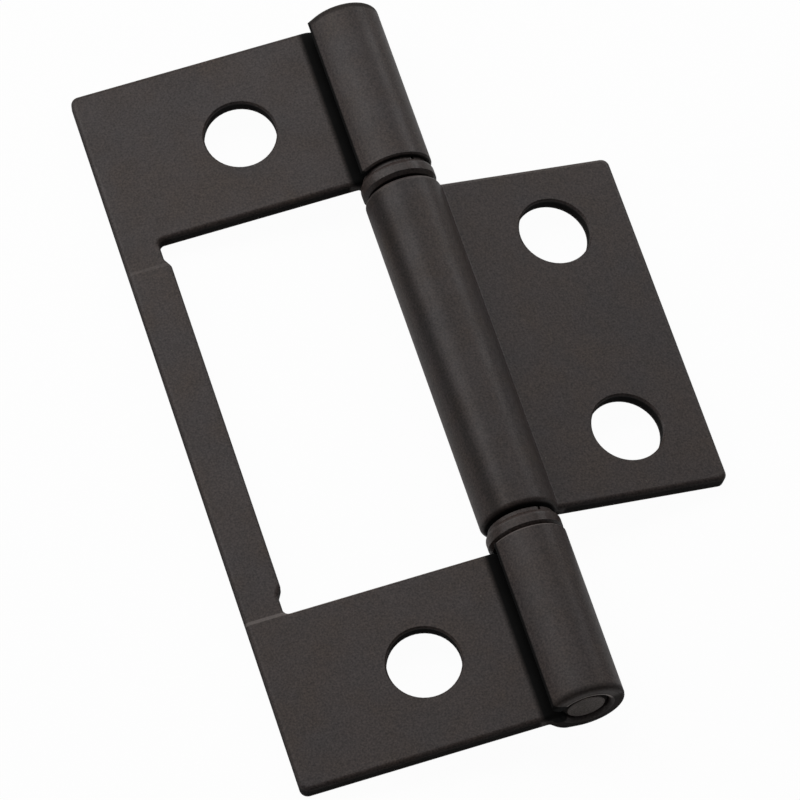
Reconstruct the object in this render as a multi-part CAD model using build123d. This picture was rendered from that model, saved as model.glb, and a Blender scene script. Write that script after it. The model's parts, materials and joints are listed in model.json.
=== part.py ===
from build123d import *
import math
import os

# A non-mortise bifold hinge, in millimetres. The long leaf is a C of folded sheet with a knuckle
# rolled at each end. The short leaf lies in its window when the hinge is shut, and carries the one
# centre knuckle. A pin runs through all three knuckles, and a stepped bushing fills each gap.
# +Y runs along the pin, +Z is the knuckle side of the long leaf, and the origin is the middle of
# the long leaf's screw line, on its mounting face. Reaches are measured out from the pin's axis.

# the folded sheet, the same for both leaves
sheet = 1.5
knuckle_radius = 3.75
leaf_drop = 0.475
neck_slope = 58
bend_radius = 1.05
tip_turn = 45
tip_length = 1.1
tip_radius = 0.4
roll_side_radius = 0.45
burr_side_bevel = 0.15

# the long leaf, its window placed by the strip along the free edge and by the two end knuckles
hinge_length = 76.2
long_reach = 27.35
long_corner_radius = 0.8
strip_width = 4.25
end_knuckle = 17.625
barrel_end_radius = 0.45
run_out_turn = 43
relief_depth = 0.5
relief_length = 2.8
relief_slope = 0.9
relief_corner_radius = 0.55
relief_return_radius = 0.6

# the short leaf, by the room it leaves in the window and for the bushings
nesting_gap = 2.0
bushing_space = 2.375
short_corner_radius = 0.8

# the screw holes, placed from the pin or from the leaves' ends and free edges
screw_hole_radius = 3.5
hole_edge_easing = 0.15
long_screw_reach = 12.8
long_screw_inset = 8.95
short_screw_setback = 7.95
short_screw_inset = 7.125

# the pin and the bushings
pin_clearance = 0.05
pin_recess = 0.2
pin_end_bevel = 0.45
flange_undersize = 0.08
flange_edge_radius = 0.6
flange_foot_bevel = 0.35
collar_inset = 0.45
collar_height = 0.33
collar_slot_width = 0.3
collar_slot_angle = 33
seat_gap = 0.05
end_play = 0.3

# how much of the sheet's thickness each edge may take at most, and how near counts as the same place
barrel_share = 0.6
roll_share = 0.35
burr_share = 0.15
tip_share = 0.3
same_place = 0.001

# sizes that follow from those above
half_sheet = sheet / 2
mid_radius = knuckle_radius - half_sheet
bore_radius = knuckle_radius - sheet
pin_radius = bore_radius - pin_clearance
pin_height = leaf_drop + half_sheet
roll_rounding = min(roll_side_radius, roll_share * sheet)
burr_break = min(burr_side_bevel, burr_share * sheet)
tip_rounding = min(tip_radius, tip_share * sheet)
window_reach = long_reach - strip_width
window_length = hinge_length - 2 * end_knuckle
short_reach = window_reach - nesting_gap
short_length = window_length - 2 * bushing_space
long_screw_spacing = hinge_length - 2 * long_screw_inset
short_screw_reach = short_reach - short_screw_setback
short_screw_spacing = short_length - 2 * short_screw_inset
flange_radius = knuckle_radius - flange_undersize
collar_radius = flange_radius - collar_inset
flange_height = bushing_space - collar_height - 2 * seat_gap - end_play
neck_angle = 270 - neck_slope
tip_angle = 90 + tip_turn
through_all = 4 * knuckle_radius


def polar(radius, angle):
    # the point at this radius and angle about the pin, in the section's own plane
    return Vector(radius * math.cos(math.radians(angle)), radius * math.sin(math.radians(angle)))


def sheet_side(reach, shift):
    # One side of the folded sheet, shift above its mid-line. It runs in flat from the free edge,
    # bends down into the neck, rolls once round the pin and ends in a short straight tip.
    neck_foot = polar(mid_radius, neck_angle)
    neck_rise = -leaf_drop - neck_foot.Y
    corner_x = neck_foot.X - neck_rise / math.tan(math.radians(neck_slope))
    bend_x = corner_x - bend_radius * math.tan(math.radians(neck_slope / 2))
    height = shift - leaf_drop

    flat = Line((-reach, height), (bend_x, height))
    bend = CenterArc((bend_x, -leaf_drop - bend_radius), bend_radius + shift, 90, -neck_slope)
    neck = Line(bend @ 1, polar(mid_radius - shift, neck_angle))
    roll = CenterArc((0, 0), mid_radius - shift, neck_angle, 180 + neck_slope + tip_turn)
    tip = Line(roll @ 1, roll @ 1 + polar(tip_length, tip_angle + 90))
    return [flat, bend, neck, roll, tip]


def folded_blank(reach, length, corner_radius):
    # a leaf before it is pierced, with its two free corners rounded
    inside = sheet_side(reach, half_sheet)
    outside = sheet_side(reach, -half_sheet)
    free_end = Line(inside[0] @ 0, outside[0] @ 0)
    tip_end = Line(inside[-1] @ 1, outside[-1] @ 1)
    section = make_face(inside + outside + [free_end, tip_end])
    blank = extrude(Plane.XZ * section, amount=length / 2, both=True)
    free_corners = blank.edges().filter_by(Axis.Z).group_by(Axis.X)[0]
    return fillet(free_corners, corner_radius)


def window_cutter():
    # the window, from the strip out past the barrel, with a relief in each of its two far corners
    deep = window_reach + relief_depth
    end = window_length / 2
    upper = [
        (through_all, end),
        (-deep, end),
        (-deep, end - relief_length + relief_slope),
        (-window_reach, end - relief_length),
    ]
    lower = [(x, -y) for x, y in reversed(upper)]
    radii = [relief_corner_radius, relief_return_radius, relief_return_radius]
    outline = FilletPolyline(*upper, *lower, radius=radii + radii[::-1])
    return extrude(make_face(outline + Line(outline @ 0, outline @ 1)), amount=through_all, both=True)


def screw_holes(reach, spacing):
    # the pair of plain screw holes, as cylinders to cut
    hole = Cylinder(screw_hole_radius, sheet * 3)
    return [Pos(-reach, side * spacing / 2, -leaf_drop) * hole for side in (-1, 1)]


def barrel_end_cutter():
    # What rounds the outer edge of the barrel's far end: the corner outside a quarter circle, carried
    # along the tip, round the roll, and then straight on under the barrel, where it runs out.
    radius = min(barrel_end_radius, barrel_share * sheet)
    run_out_angle = neck_angle + run_out_turn
    edge = hinge_length / 2
    arc = CenterArc((knuckle_radius - radius, edge - radius), radius, 0, 90)
    spare = (knuckle_radius + radius, edge + radius)
    corner = Polyline(
        arc @ 1, (knuckle_radius - radius, spare[1]), spare, (spare[0], edge - radius), arc @ 0
    )
    face = make_face(arc + corner)
    rolled = Rot(0, -tip_angle, 0) * revolve(face, Axis.Y, tip_angle + 360 - run_out_angle)
    along_tip = Rot(0, -tip_angle, 0) * extrude(face, amount=tip_length + radius)
    run_out = Rot(0, -run_out_angle, 0) * extrude(face, amount=-knuckle_radius)
    return [rolled, along_tip, run_out]


def edges_along_pin(leaf, x, z):
    # the straight edges that run along the pin at this place in the section
    edges = leaf.edges().filter_by(Axis.Y)
    return edges.filter_by(lambda edge: math.hypot(edge.center().X - x, edge.center().Z - z) < same_place)


def eased(leaf, straight_reaches, punched_side):
    # The cut edges of the sheet, rounded on the side that the punch rolls in and broken by a narrow
    # bevel on the burr side. Each border is smooth all the way round, so one straight stretch of it
    # is enough to find it. The tips' ends and the rims of the holes come last.
    for reach in straight_reaches:
        rolled = edges_along_pin(leaf, -reach, punched_side * half_sheet - leaf_drop)
        leaf = fillet(rolled, roll_rounding)
        burred = edges_along_pin(leaf, -reach, -punched_side * half_sheet - leaf_drop)
        leaf = chamfer(burred, burr_break)
    tip_corner = sheet_side(straight_reaches[0], -half_sheet)[-1] @ 1
    leaf = fillet(edges_along_pin(leaf, tip_corner.X, tip_corner.Y), tip_rounding)
    rims = leaf.edges().filter_by(GeomType.CIRCLE)
    rims = rims.filter_by(lambda rim: abs(rim.length - 2 * math.pi * screw_hole_radius) < same_place)
    return chamfer(rims, hole_edge_easing)


def long_leaf():
    leaf = folded_blank(long_reach, hinge_length, long_corner_radius)
    leaf -= window_cutter()
    leaf -= screw_holes(long_screw_reach, long_screw_spacing)
    leaf = eased(leaf, [long_reach, window_reach], 1)
    cutters = barrel_end_cutter()
    return leaf - cutters - [mirror(cutter, Plane.XZ) for cutter in cutters]


def short_leaf():
    leaf = folded_blank(short_reach, short_length, short_corner_radius)
    leaf -= screw_holes(short_screw_reach, short_screw_spacing)
    return eased(leaf, [short_reach], -1)


def resting_tilt(reach, leaf_height):
    # how far a leaf slopes when its free edge and the barrel both lie on a table
    edge_height = leaf_height - half_sheet
    slope = math.asin(knuckle_radius / math.hypot(reach, edge_height))
    return math.degrees(slope + math.atan(edge_height / reach))


def hinge_pin():
    pin = Cylinder(pin_radius, hinge_length - 2 * pin_recess)
    pin = chamfer(pin.edges().filter_by(GeomType.CIRCLE), pin_end_bevel)
    return Rot(90, 0, 0) * pin


def stepped_bushing():
    # A thick flange with a low split collar on it, standing on Z with its foot at zero. Its hole is
    # the same as the knuckles'.
    flange = Cylinder(flange_radius, flange_height, align=(Align.CENTER, Align.CENTER, Align.MIN))
    flange = fillet(flange.edges().group_by(Axis.Z)[-1], flange_edge_radius)
    flange = chamfer(flange.edges().group_by(Axis.Z)[0], flange_foot_bevel)
    collar = Pos(0, 0, flange_height) * Cylinder(
        collar_radius, collar_height, align=(Align.CENTER, Align.CENTER, Align.MIN)
    )
    slot = Pos(collar_radius, 0, flange_height + collar_height) * Box(
        2 * collar_radius, collar_slot_width, 2 * collar_height
    )
    collar -= slot
    return flange + collar - Cylinder(bore_radius, through_all)


def seated_bushing(foot_y):
    # the bushing turned to stand along the pin, foot towards -Y, its slot towards the right
    return Pos(0, foot_y, 0) * Rot(-90, 0, 0) * Rot(0, 0, collar_slot_angle - 90) * stepped_bushing()


lower_foot = -window_length / 2 + seat_gap
upper_foot = short_length / 2 + seat_gap + end_play
opening_angle = resting_tilt(long_reach, -leaf_drop) + resting_tilt(short_reach, leaf_drop)

parts = {
    "outer_leaf": long_leaf(),
    "inner_leaf": Rot(0, 180 + opening_angle, 0) * short_leaf(),
    "hinge_pin": hinge_pin(),
    "upper_bushing": seated_bushing(upper_foot),
    "lower_bushing": seated_bushing(lower_foot),
}

os.makedirs("parts", exist_ok=True)
for name, shape in parts.items():
    export_step(Pos(long_screw_reach, 0, pin_height) * shape, f"parts/{name}.step")
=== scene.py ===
import json
import math

import bpy
import numpy as np
from mathutils import Euler, Matrix, Vector


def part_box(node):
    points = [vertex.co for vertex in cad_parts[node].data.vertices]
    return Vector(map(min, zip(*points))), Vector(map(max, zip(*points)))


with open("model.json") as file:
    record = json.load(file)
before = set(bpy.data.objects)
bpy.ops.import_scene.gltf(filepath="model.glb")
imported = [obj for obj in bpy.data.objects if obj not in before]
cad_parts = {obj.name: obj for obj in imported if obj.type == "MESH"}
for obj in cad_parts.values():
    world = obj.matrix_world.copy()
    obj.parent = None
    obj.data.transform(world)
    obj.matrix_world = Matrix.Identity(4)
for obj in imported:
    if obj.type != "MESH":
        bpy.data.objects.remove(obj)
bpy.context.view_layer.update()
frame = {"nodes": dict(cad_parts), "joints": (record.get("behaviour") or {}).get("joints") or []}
print("frame loaded:", ", ".join(sorted(frame["nodes"])))

# what the solids say, in metres
longLow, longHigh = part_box("outer_leaf")
seatGap = 0.00005  # between a bushing's foot and the knuckle that it stands on
pinMiddle = tuple(frame["joints"][0]["pos_m"])
barrelRadius = longHigh.z - pinMiddle[2]
barrelEnd = longHigh.y
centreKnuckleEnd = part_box("inner_leaf")[1].y
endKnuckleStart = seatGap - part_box("lower_bushing")[0].y


# the photograph's camera, found by laying the solids over the picture; places in metres, the turn in
# degrees, lens and sensor in millimetres
cameraSet = {
    "place": (-0.0607567, -0.2494645, 0.5138871),
    "turn": (26.48107, 1.18851, -17.52688),
    "lens": 274.5,
    "sensor": 36.0,
    "clip": (0.01, 20.0),
}


def makeCamera(values):
    data = bpy.data.cameras.new("photoCamera")
    data.lens = values["lens"]
    data.sensor_width = values["sensor"]
    data.clip_start, data.clip_end = values["clip"]
    camera = bpy.data.objects.new("photoCamera", data)
    turn = Euler([math.radians(angle) for angle in values["turn"]], "XYZ")
    camera.matrix_world = Matrix.Translation(values["place"]) @ turn.to_matrix().to_4x4()
    bpy.context.scene.collection.objects.link(camera)
    bpy.context.scene.camera = camera


makeCamera(cameraSet)
print("camera set")


# small helpers for node trees; "at" is a node's place in the editor
def addNode(tree, kind, at, **values):
    node = tree.nodes.new(kind)
    node.location = at
    for name, value in values.items():
        setattr(node, name, value)
    return node


def feed(tree, value, socket):
    # a socket takes a plain value or another node's output
    if isinstance(value, (int, float, tuple)):
        socket.default_value = value
    else:
        tree.links.new(value, socket)


def startMaterial(name):
    material = bpy.data.materials.new(name)
    material.use_nodes = True
    material.node_tree.nodes.clear()
    return material, material.node_tree


def makeGroup(name, inputs, outputs):
    # a shader node group with its sockets; each input is name, kind and default
    group = bpy.data.node_groups.new(name, "ShaderNodeTree")
    for label, kind, default in inputs:
        socket = group.interface.new_socket(name=label, in_out="INPUT", socket_type=kind)
        socket.default_value = default
    for label, kind in outputs:
        group.interface.new_socket(name=label, in_out="OUTPUT", socket_type=kind)
    start = addNode(group, "NodeGroupInput", (-1600, 200))
    end = addNode(group, "NodeGroupOutput", (1000, 0))
    return group, start, end


def noiseAt(tree, point, scale, detail, at, roughness=0.55):
    noise = addNode(tree, "ShaderNodeTexNoise", at)
    feed(tree, point, noise.inputs["Vector"])
    feed(tree, scale, noise.inputs["Scale"])
    feed(tree, detail, noise.inputs["Detail"])
    feed(tree, roughness, noise.inputs["Roughness"])
    return noise.outputs["Fac"]


def stretched(tree, value, low, high, outLow, outHigh, at):
    # a value carried from one range to another, held at its ends
    node = addNode(tree, "ShaderNodeMapRange", at, clamp=True)
    feed(tree, value, node.inputs["Value"])
    feed(tree, low, node.inputs["From Min"])
    feed(tree, high, node.inputs["From Max"])
    feed(tree, outLow, node.inputs["To Min"])
    feed(tree, outHigh, node.inputs["To Max"])
    return node.outputs["Result"]


def rising(tree, value, fade, at, top=1):
    # nought before the fade and top beyond it
    return stretched(tree, value, *fade, 0, top, at)


def falling(tree, value, fade, at, top=1):
    # top before the fade and nought beyond it
    return stretched(tree, value, *fade, top, 0, at)


def worked(tree, operation, first, second, at):
    node = addNode(tree, "ShaderNodeMath", at, operation=operation)
    feed(tree, first, node.inputs[0])
    feed(tree, second, node.inputs[1])
    return node.outputs[0]


def awayFrom(tree, value, spot, at):
    # how far a number is from a spot, on either side of it
    return worked(tree, "ABSOLUTE", worked(tree, "SUBTRACT", value, spot, at), 0, (at[0] + 200, at[1]))


def vectorNode(tree, operation, first, second, at):
    node = addNode(tree, "ShaderNodeVectorMath", at, operation=operation)
    feed(tree, first, node.inputs[0])
    feed(tree, second, node.inputs[1])
    return node


def blended(tree, factor, first, second, at):
    # inputs 6 and 7 and output 2 are the colour sockets of this node
    node = addNode(tree, "ShaderNodeMix", at, data_type="RGBA", blend_type="MIX")
    feed(tree, factor, node.inputs[0])
    feed(tree, first, node.inputs[6])
    feed(tree, second, node.inputs[7])
    return node.outputs[2]


# Where on the folded sheet a point lies, seen from the pin's axis with the leaf turned level, and where
# light
# or shade is painted into the colour: painted shade inside the roll and its groove, on the cut walls and on
# the barrel's gaps and far ends, and painted highlights on the upper rims and two gap edges. All in metres.
# A fade
# is a pair: where it begins and where it ends. A depth is a fade counted inwards from the barrel's skin, an
# inset one counted from the barrel's far ends.
sheetPlaces = {
    "boreDepth": (0.0014, 0.00135),
    "shadedHollows": (  # middle from the pin's, and fade
        ((-0.0029, 0, 0.001), (0.00118, 0.00128)),
        ((-0.00305, 0, 0.0007), (0.00102, 0.00152)),
        ((-0.0023, 0, -0.0004), (0.0009, 0.0012)),
    ),
    "rollDepth": (0.00045, 0.00015),
    "knuckleEndFade": (0.00003, 0.00008),
    "barrelDepth": (-0.00015, -0.00025),
    "farRimInset": (0.0008, 0.0005),
    "farRimShade": 0.5,
    "farFaceInset": (0.0002, 0.00005),
    "farFaceShade": 0.6,
    "litRingDepth": (0.00115, 0.00105),
    "litFaceShare": 0.05,
    "litSide": (-0.17, 0, 0.98),
    "litSideFade": (0.0002, 0.001),
    "litEdges": (  # place along the pin, and share
        (centreKnuckleEnd - 0.00025, 0.04),
        (-endKnuckleStart, 0.12),
    ),
    "litEdgeFade": (0.00012, 0.0002),
    "litEdgeDepth": (0.00035, 0.00025),
    "leafDrop": 0.000475,
    "wallFade": (0.0003, 0.0006),
    "flatFade": (-0.0046, -0.0043),
}


def fromSkin(depths):
    return [barrelRadius - depth for depth in depths]


def fromEnd(insets):
    return [barrelEnd - inset for inset in insets]


def onSkin(along, angle):
    # the point on the barrel's skin at this place along the pin, this many degrees round from +Z to +X:
    # across is the radius times the sine, up is the radius times the cosine
    turn = math.radians(angle)
    return Vector((barrelRadius * math.sin(turn), along, barrelRadius * math.cos(turn)))


def acrossPin(tree, place, at):
    # a point as it lies from the pin's middle, and the same with its place along the pin left out
    moved = vectorNode(tree, "SUBTRACT", place, pinMiddle, at).outputs[0]
    level = vectorNode(tree, "MULTIPLY", moved, (1, 0, 1), (at[0] + 200, at[1] + 100)).outputs[0]
    return moved, level


def farFrom(tree, point, middle, at):
    return vectorNode(tree, "DISTANCE", point, middle, at).outputs["Value"]


def besideLine(tree, point, first, last, at):
    # how far a point lies from the line through two others: the length of the cross product of the way to
    # it from the first and the line's own unit direction
    unit = tuple((last - first).normalized())
    away = vectorNode(tree, "SUBTRACT", point, tuple(first), at).outputs[0]
    crossed = vectorNode(tree, "CROSS_PRODUCT", away, unit, (at[0] + 200, at[1])).outputs[0]
    return vectorNode(tree, "LENGTH", crossed, (0, 0, 0), (at[0] + 400, at[1])).outputs["Value"]


def shadeInHollows(tree, reach, level, sideways, farRim, values):
    # Painted shade, darkened into the colour: inside the bore short of its rounded far rims, in the groove
    # beside the roll, and on the inner part of the knuckles' ends in the barrel's gaps
    within = falling(tree, reach, fromSkin(values["boreDepth"]), (-400, 620))
    hollowShade = worked(tree, "MULTIPLY", within, worked(tree, "SUBTRACT", 1, farRim, (-400, 460)), (-200, 620))
    for index, (middle, fade) in enumerate(values["shadedHollows"]):
        row = 300 - 160 * index
        near = falling(tree, farFrom(tree, level, middle, (-600, row)), fade, (-400, row))
        hollowShade = worked(tree, "MAXIMUM", hollowShade, near, (-200, row))
    inner = falling(tree, reach, fromSkin(values["rollDepth"]), (-400, -180))
    for index, spot in enumerate((endKnuckleStart, centreKnuckleEnd)):
        row = -340 - 160 * index
        off = awayFrom(tree, sideways, spot, (-400, row))
        facing = falling(tree, off, values["knuckleEndFade"], (0, row))
        facing = worked(tree, "MULTIPLY", facing, inner, (200, row))
        hollowShade = worked(tree, "MAXIMUM", hollowShade, facing, (400, row))
    return hollowShade


def alongEdges(tree, highlight, reach, along, values):
    # painted highlight: thin light lines round two edges of the barrel's gaps
    for index, (spot, share) in enumerate(values["litEdges"]):
        row = -1620 - 160 * index
        outside = rising(tree, reach, fromSkin(values["litEdgeDepth"]), (-600, row), share)
        off = awayFrom(tree, along, spot, (-400, row))
        line = falling(tree, off, values["litEdgeFade"], (0, row))
        line = worked(tree, "MULTIPLY", line, outside, (200, row))
        highlight = worked(tree, "MAXIMUM", highlight, line, (400, row))
    return highlight


def makeSheetMask(values):
    group, start, end = makeGroup(
        "sheetMask",
        [("Turn", "NodeSocketFloat", 0.0)],
        [("Painted Shade", "NodeSocketFloat"), ("Shaded Wall", "NodeSocketFloat"), ("Painted Highlight", "NodeSocketFloat")],
    )
    place = addNode(group, "ShaderNodeTexCoord", (-1600, 0)).outputs["Object"]
    turned = addNode(group, "ShaderNodeVectorRotate", (-1400, 0), rotation_type="Y_AXIS")
    feed(group, place, turned.inputs["Vector"])
    feed(group, pinMiddle, turned.inputs["Center"])
    feed(group, start.outputs["Turn"], turned.inputs["Angle"])
    moved, level = acrossPin(group, turned.outputs[0], (-1200, 0))
    parts = addNode(group, "ShaderNodeSeparateXYZ", (-1000, -200))
    feed(group, moved, parts.inputs[0])
    reach = farFrom(group, level, (0, 0, 0), (-800, 460))
    sideways = awayFrom(group, parts.outputs["Y"], 0, (-800, -340))
    farRim = rising(group, sideways, fromEnd(values["farRimInset"]), (-600, 460))
    hollowShade = shadeInHollows(group, reach, level, sideways, farRim, values)

    # the barrel's two far ends: a painted highlight on the upper part of each rim, painted shade on the
    # rest of it and on the lower part of the face
    barrel = falling(group, reach, fromSkin(values["barrelDepth"]), (-400, -820))
    rim = worked(group, "MULTIPLY", farRim, barrel, (-200, -820))
    face = rising(group, sideways, fromEnd(values["farFaceInset"]), (-400, -980))
    face = worked(group, "MULTIPLY", face, barrel, (-200, -980))
    ring = falling(group, reach, fromSkin(values["litRingDepth"]), (-400, -1140))
    ring = worked(group, "MULTIPLY", ring, rim, (-200, -1140))
    facing = vectorNode(group, "DOT_PRODUCT", level, values["litSide"], (-400, -1300)).outputs["Value"]
    upper = rising(group, facing, values["litSideFade"], (-200, -1300))
    lower = worked(group, "SUBTRACT", 1, upper, (0, -1300))
    litFace = worked(group, "MULTIPLY", face, values["litFaceShare"], (0, -1140))
    highlight = worked(group, "MAXIMUM", ring, litFace, (200, -1140))
    highlight = worked(group, "MULTIPLY", highlight, upper, (400, -1140))
    highlight = alongEdges(group, highlight, reach, parts.outputs["Y"], values)
    feed(group, highlight, end.inputs["Painted Highlight"])
    rimShade = worked(group, "SUBTRACT", rim, face, (0, -820))
    rimShade = worked(group, "MULTIPLY", rimShade, values["farRimShade"], (200, -820))
    faceShade = worked(group, "MULTIPLY", face, lower, (0, -980))
    faceShade = worked(group, "MULTIPLY", faceShade, values["farFaceShade"], (200, -980))
    shade = worked(group, "MAXIMUM", rimShade, faceShade, (400, -820))
    shade = worked(group, "SUBTRACT", shade, ring, (600, -820))
    feed(group, worked(group, "MAXIMUM", hollowShade, shade, (800, 100)), end.inputs["Painted Shade"])

    # painted shade on the walls that the cutting left, on the flat part of the leaf only
    off = awayFrom(group, parts.outputs["Z"], -values["leafDrop"], (-400, -660))
    wall = falling(group, off, values["wallFade"], (0, -660))
    flat = falling(group, parts.outputs["X"], values["flatFade"], (0, -740))
    feed(group, worked(group, "MULTIPLY", wall, flat, (200, -660)), end.inputs["Shaded Wall"])
    return group


sheetMask = makeSheetMask(sheetPlaces)
print("sheet mask made")


# The baked bronze paint, seen close: a fine orange-peel grain, wide warm and cool patches, and a few light
# specks where the spray left a dry grain. Noises are scale and detail, fades as above.
grainSet = {
    "warmNoise": (260, 3),
    "coolNoise": (190, 2),
    "grainNoise": (5200, 3),
    "peelNoise": (1500, 2),
    "speckScale": 700,
    "warmFade": (0.42, 0.68),
    "coolFade": (0.45, 0.7),
    "shadeRange": (0.3, 0.7),
    "swingRange": (0.35, 0.65),
    "speckFade": (0.03, 0.075),
    "rareFade": (0.8, 0.95),
    "speck": (0.16, 0.145, 0.13, 1),
    # the light colour of the painted highlights
    "highlightColour": (0.8, 0.71, 0.67, 1),
    # the near black of the painted shade
    "dark": (0.0015, 0.0014, 0.0013, 1),
    # roughness added where shade is painted, to dull the lamps' sheen there
    "roughnessInShade": 0.5,
    "grainHeight": 0.4,
}


def makePaintGrain(values):
    group, start, end = makeGroup(
        "paintGrain",
        [
            ("Paint", "NodeSocketColor", (0.04, 0.036, 0.034, 1)),
            ("Warm", "NodeSocketColor", (0.05, 0.036, 0.03, 1)),
            ("Cool", "NodeSocketColor", (0.034, 0.038, 0.034, 1)),
            ("Patch Share", "NodeSocketFloat", 0.4),
            ("Grain Share", "NodeSocketFloat", 0.3),
            ("Speck Share", "NodeSocketFloat", 0.5),
            ("Roughness", "NodeSocketFloat", 0.42),
            ("Roughness Swing", "NodeSocketFloat", 0.06),
            ("Darkening", "NodeSocketFloat", 0.0),
            ("Highlight", "NodeSocketFloat", 0.0),
        ],
        [("Colour", "NodeSocketColor"), ("Roughness", "NodeSocketFloat"), ("Height", "NodeSocketFloat")],
    )
    given = start.outputs
    place = addNode(group, "ShaderNodeTexCoord", (-1200, -400)).outputs["Object"]
    patches = noiseAt(group, place, *values["warmNoise"], (-900, 300))
    coolPatches = noiseAt(group, place, *values["coolNoise"], (-900, 60))
    grain = noiseAt(group, place, *values["grainNoise"], (-900, -180))
    peel = noiseAt(group, place, *values["peelNoise"], (-900, -420))
    dots = addNode(group, "ShaderNodeTexVoronoi", (-900, -660), feature="F1")
    feed(group, place, dots.inputs["Vector"])
    feed(group, values["speckScale"], dots.inputs["Scale"])

    warmShare = rising(group, patches, values["warmFade"], (-640, 320))
    warmShare = worked(group, "MULTIPLY", warmShare, given["Patch Share"], (-420, 320))
    coolShare = rising(group, coolPatches, values["coolFade"], (-640, 60))
    coolShare = worked(group, "MULTIPLY", coolShare, given["Patch Share"], (-420, 60))
    colour = blended(group, warmShare, given["Paint"], given["Warm"], (-200, 300))
    colour = blended(group, coolShare, colour, given["Cool"], (0, 240))

    # the grain lightens and darkens the colour by its share
    shade = stretched(group, grain, *values["shadeRange"], -1, 1, (-640, -180))
    shade = worked(group, "MULTIPLY", shade, given["Grain Share"], (-420, -180))
    shade = worked(group, "ADD", shade, 1.0, (-200, -180))
    grained = addNode(group, "ShaderNodeVectorMath", (200, 160), operation="SCALE")
    feed(group, colour, grained.inputs[0])
    feed(group, shade, grained.inputs["Scale"])

    # only the few cells whose own random colour is high get a speck
    cell = addNode(group, "ShaderNodeSeparateColor", (-640, -860))
    feed(group, dots.outputs["Color"], cell.inputs[0])
    chosen = rising(group, cell.outputs[0], values["rareFade"], (-420, -860))
    speck = falling(group, dots.outputs["Distance"], values["speckFade"], (-640, -660))
    speck = worked(group, "MULTIPLY", speck, chosen, (-200, -660))
    speck = worked(group, "MULTIPLY", speck, given["Speck Share"], (0, -660))
    colour = blended(group, speck, grained.outputs[0], values["speck"], (420, 160))
    # painted highlight: blended towards a light colour where the mask says
    colour = blended(group, given["Highlight"], colour, values["highlightColour"], (600, 160))
    # painted shade: blended towards near black where the mask says
    colour = blended(group, given["Darkening"], colour, values["dark"], (780, 160))
    feed(group, colour, end.inputs["Colour"])

    swing = stretched(group, patches, *values["swingRange"], -1, 1, (200, -80))
    swing = worked(group, "MULTIPLY", swing, given["Roughness Swing"], (400, -80))
    rough = worked(group, "ADD", swing, given["Roughness"], (600, -80))
    shadeRough = worked(group, "MULTIPLY", given["Darkening"], values["roughnessInShade"], (600, -240))
    feed(group, worked(group, "ADD", rough, shadeRough, (780, -80)), end.inputs["Roughness"])
    height = worked(group, "MULTIPLY", grain, values["grainHeight"], (200, -400))
    feed(group, worked(group, "ADD", height, peel, (400, -400)), end.inputs["Height"])
    return group


paintGrain = makePaintGrain(grainSet)
print("paint group made")


# one coat of paint for every piece; each piece's own dictionary below says where it differs
coatSet = {
    "paint": (0.051, 0.0395, 0.0368),
    "warm": (0.058, 0.0432, 0.0357),
    "cool": (0.0445, 0.0375, 0.0378),
    "patchShare": 0.7,
    "grainShare": 0.54,
    "speckShare": 0.7,
    "roughness": 0.42,
    "roughnessSwing": 0.04,
    "metallic": 0.0,
    "gloss": 0.22,
    "bumpStrength": 0.35,
    "bumpDepth": 0.00003,
}


def sheetDarkening(tree, mask, values):
    # painted shade on a leaf, darkened into its colour: in the hollows, on the cut walls, and in soft bands
    # along the knuckles
    wallShade = worked(tree, "MULTIPLY", mask.outputs["Shaded Wall"], values["wallShadeShare"], (-500, -300))
    dark = worked(tree, "MAXIMUM", mask.outputs["Painted Shade"], wallShade, (-300, -200))
    place = addNode(tree, "ShaderNodeTexCoord", (-1700, -600)).outputs["Object"]
    moved = acrossPin(tree, place, (-1500, -600))[0]
    for index, (first, last, share) in enumerate(values["shadeBands"]):
        row = -600 - 200 * index
        off = besideLine(tree, moved, onSkin(*first), onSkin(*last), (-1100, row))
        band = falling(tree, off, values["shadeBandFade"], (-500, row), share)
        dark = worked(tree, "MAXIMUM", dark, band, (-300, row))
    return dark


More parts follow.
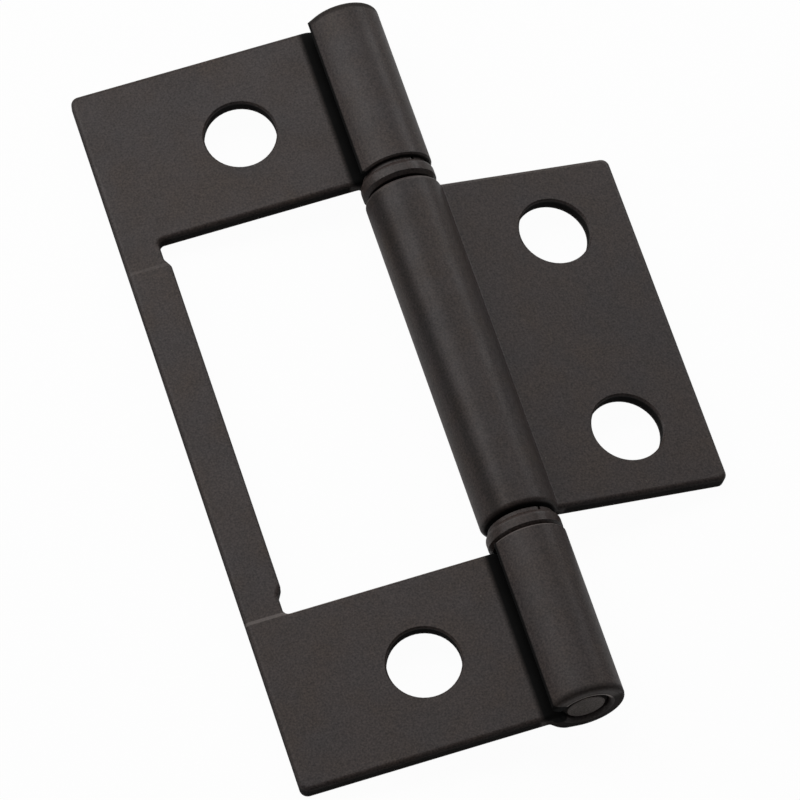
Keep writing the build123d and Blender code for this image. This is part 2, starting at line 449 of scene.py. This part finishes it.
def makePaint(name, values):
    # the group gives colour, roughness and height, the shader stays in the material
    material, tree = startMaterial(name)
    out = addNode(tree, "ShaderNodeOutputMaterial", (700, 0))
    shader = addNode(tree, "ShaderNodeBsdfPrincipled", (400, 0))
    feed(tree, values["metallic"], shader.inputs["Metallic"])
    feed(tree, values["gloss"], shader.inputs["Specular IOR Level"])
    coat = addNode(tree, "ShaderNodeGroup", (0, 0), node_tree=paintGrain)
    for label, key in (("Paint", "paint"), ("Warm", "warm"), ("Cool", "cool")):
        feed(tree, (*values[key], 1), coat.inputs[label])
    for label, key in (
        ("Patch Share", "patchShare"),
        ("Grain Share", "grainShare"),
        ("Speck Share", "speckShare"),
        ("Roughness", "roughness"),
        ("Roughness Swing", "roughnessSwing"),
    ):
        feed(tree, values[key], coat.inputs[label])
    if "turn" in values:
        # painted shade and painted highlight from the sheet mask
        mask = addNode(tree, "ShaderNodeGroup", (-700, -200), node_tree=sheetMask)
        feed(tree, math.radians(values["turn"]), mask.inputs["Turn"])
        feed(tree, sheetDarkening(tree, mask, values), coat.inputs["Darkening"])
        feed(tree, mask.outputs["Painted Highlight"], coat.inputs["Highlight"])
    if "endFade" in values:
        # painted shade on the pin's bevels and side, beyond its flat end
        place = addNode(tree, "ShaderNodeTexCoord", (-1000, -400)).outputs["Object"]
        reach = farFrom(tree, acrossPin(tree, place, (-800, -400))[1], (0, 0, 0), (-400, -400))
        dark = rising(tree, reach, values["endFade"], (-200, -400), values["endShade"])
        feed(tree, dark, coat.inputs["Darkening"])
    bump = addNode(tree, "ShaderNodeBump", (200, -260))
    feed(tree, values["bumpStrength"], bump.inputs["Strength"])
    feed(tree, values["bumpDepth"], bump.inputs["Distance"])
    feed(tree, coat.outputs["Height"], bump.inputs["Height"])
    feed(tree, coat.outputs["Colour"], shader.inputs["Base Color"])
    feed(tree, coat.outputs["Roughness"], shader.inputs["Roughness"])
    feed(tree, bump.outputs["Normal"], shader.inputs["Normal"])
    feed(tree, shader.outputs["BSDF"], out.inputs["Surface"])
    return material


def dress(node, material):
    # a CAD node keeps its mesh and takes this material in every slot
    slots = frame["nodes"][node].material_slots
    for slot in slots:
        slot.material = material
    if not slots:
        frame["nodes"][node].data.materials.append(material)


# The long leaf, the C-shaped plate with its window and the two end knuckles. The turn brings a leaf level
# for its mask, in degrees. A shade band, painted shade along the barrel, has two points, each by its place
# along the pin and its angle round the barrel, and a share.
longLeafSet = dict(
    coatSet,
    turn=0,
    wallShadeShare=0.9,
    shadeBands=(((-0.02, 15), (0.02, 15), 0.13),),
    shadeBandFade=(0.0002, 0.0011),
)
dress("outer_leaf", makePaint("longLeafPaint", longLeafSet))
print("long leaf painted")


# the short leaf and the centre knuckle that it carries; its paint is the long leaf's made a little darker,
# a shaded copy of the same paint
shortLeafSet = dict(
    longLeafSet,
    paint=(0.0475, 0.0368, 0.0343),
    warm=(0.054, 0.0402, 0.0332),
    cool=(0.0413, 0.0348, 0.0352),
    turn=-194.798,
    shadeBands=(
        ((-0.011, -38.5), (0.012, -47.5), 0.5),
        ((-0.011, -1), (0.012, -1), 0.13),
    ),
)
dress("inner_leaf", makePaint("shortLeafPaint", shortLeafSet))
print("short leaf painted")


# the pin: its paint is made much lighter than the coat, a painted highlight on its flat ends, and its
# bevels and side are darkened as painted shade
pinSet = dict(coatSet, paint=(0.19, 0.163, 0.15), roughness=0.5, endFade=(0.00178, 0.00183), endShade=0.9)
dress("hinge_pin", makePaint("pinPaint", pinSet))
print("pin painted")


# the two stepped bushings, a little darker and smoother
bushingSet = dict(coatSet, paint=(0.0455, 0.0335, 0.0302), roughness=0.36, gloss=0.22)
bushingPaint = makePaint("bushingPaint", bushingSet)
dress("upper_bushing", bushingPaint)
dress("lower_bushing", bushingPaint)
print("bushings painted")


# The white sheet that the hinge lies on: it passes under the long leaf's free edge and touches the barrel.
# A ray that looks at it sees it lit and white, light that bounces off it sees it grey.
floorSet = {
    "halfSize": 1.2,
    "rows": 3,
    "grey": (0.45, 0.45, 0.45, 1),
    "white": (0.9, 0.9, 0.9, 1),
    "plainGlow": 0.0,
    "mirroredGlow": 0.15,
    "seenGlow": 0.97,
}


def whiteShare(tree, plain, mirrored, seen):
    # how much white a ray gets: a plain light ray, a ray off a glossy face or through glass, the camera's
    ray = addNode(tree, "ShaderNodeLightPath", (-900, 300)).outputs
    bent = worked(tree, "MAXIMUM", ray["Is Glossy Ray"], ray["Is Transmission Ray"], (-700, 300))
    share = stretched(tree, bent, 0, 1, plain, mirrored, (-500, 300))
    return stretched(tree, ray["Is Camera Ray"], 0, 1, share, seen, (-300, 300))


def makePaper(values):
    material, tree = startMaterial("whiteSheet")
    out = addNode(tree, "ShaderNodeOutputMaterial", (700, 0))
    paper = addNode(tree, "ShaderNodeBsdfDiffuse", (0, 0))
    ray = addNode(tree, "ShaderNodeLightPath", (-700, -100)).outputs
    looked = worked(tree, "MAXIMUM", ray["Is Camera Ray"], ray["Is Glossy Ray"], (-500, -100))
    tone = blended(tree, looked, values["grey"], values["white"], (-250, -100))
    feed(tree, tone, paper.inputs["Color"])
    glow = addNode(tree, "ShaderNodeEmission", (0, -200))
    mix = addNode(tree, "ShaderNodeMixShader", (400, 0))
    share = whiteShare(tree, values["plainGlow"], values["mirroredGlow"], values["seenGlow"])
    feed(tree, share, mix.inputs[0])
    feed(tree, paper.outputs[0], mix.inputs[1])
    feed(tree, glow.outputs[0], mix.inputs[2])
    feed(tree, mix.outputs[0], out.inputs["Surface"])
    return material


def makeFloor(values):
    # A flat grid. The plane goes through the free edge and is tangent to the barrel's circle: its slope is
    # the arcsine of radius over distance, less the slope of the line from the edge to the barrel's middle.
    freeEdge = longLow.x
    across = pinMiddle[0] - freeEdge
    rise = pinMiddle[2]
    slope = math.asin(barrelRadius / math.hypot(across, rise)) - math.atan2(rise, across)
    rows = values["rows"]
    spread = values["halfSize"] * np.linspace(-1, 1, rows)
    x, y = np.meshgrid(spread, spread, indexing="ij")
    points = np.stack([freeEdge + x * math.cos(slope), y, -x * math.sin(slope)], -1).reshape(-1, 3)
    corners = (np.arange(rows - 1)[:, None] * rows + np.arange(rows - 1)).ravel()
    faces = np.stack([corners, corners + rows, corners + rows + 1, corners + 1], 1)
    mesh = bpy.data.meshes.new("whiteSheet")
    mesh.from_pydata(points.tolist(), [], faces.tolist())
    mesh.materials.append(makePaper(values))
    floor = bpy.data.objects.new("whiteSheet", mesh)
    bpy.context.scene.collection.objects.link(floor)


makeFloor(floorSet)
print("floor laid")


# plain soft studio light: square lamps that face the origin; places and size in metres, power in watts
worldSet = {"plain": 0.08, "mirrored": 0.25, "seen": 1.0}
lampSize = 0.27
lampSet = {
    "lowLeft": {"place": (-0.416, 0.333, 0.277), "power": 0.70},
    "backLeft": {"place": (-0.208, 0.327, 0.463), "power": 0.95},
    "back": {"place": (0.03, 0.3, 0.52), "power": 0.35},
    "backRight": {"place": (0.208, 0.327, 0.463), "power": 0.50},
    "lowRight": {"place": (0.451, 0.333, 0.215), "power": 0.72},
}


def makeLamp(name, values):
    data = bpy.data.lights.new(name, "AREA")
    data.shape = "RECTANGLE"
    data.size = data.size_y = lampSize
    data.energy = values["power"]
    lamp = bpy.data.objects.new(name, data)
    place = Vector(values["place"])
    facing = (-place).to_track_quat("-Z", "Y")
    lamp.matrix_world = Matrix.Translation(place) @ facing.to_matrix().to_4x4()
    bpy.context.scene.collection.objects.link(lamp)


def makeWorld(values):
    world = bpy.data.worlds.new("studio")
    world.use_nodes = True
    tree = world.node_tree
    tree.nodes.clear()
    out = addNode(tree, "ShaderNodeOutputWorld", (600, 0))
    back = addNode(tree, "ShaderNodeBackground", (400, 0))
    share = whiteShare(tree, values["plain"], values["mirrored"], values["seen"])
    feed(tree, share, back.inputs["Strength"])
    feed(tree, back.outputs[0], out.inputs["Surface"])
    bpy.context.scene.world = world


makeWorld(worldSet)
for lampName, lampValues in lampSet.items():
    makeLamp(lampName, lampValues)
bpy.context.scene.view_settings.view_transform = "Standard"
print("lights placed")
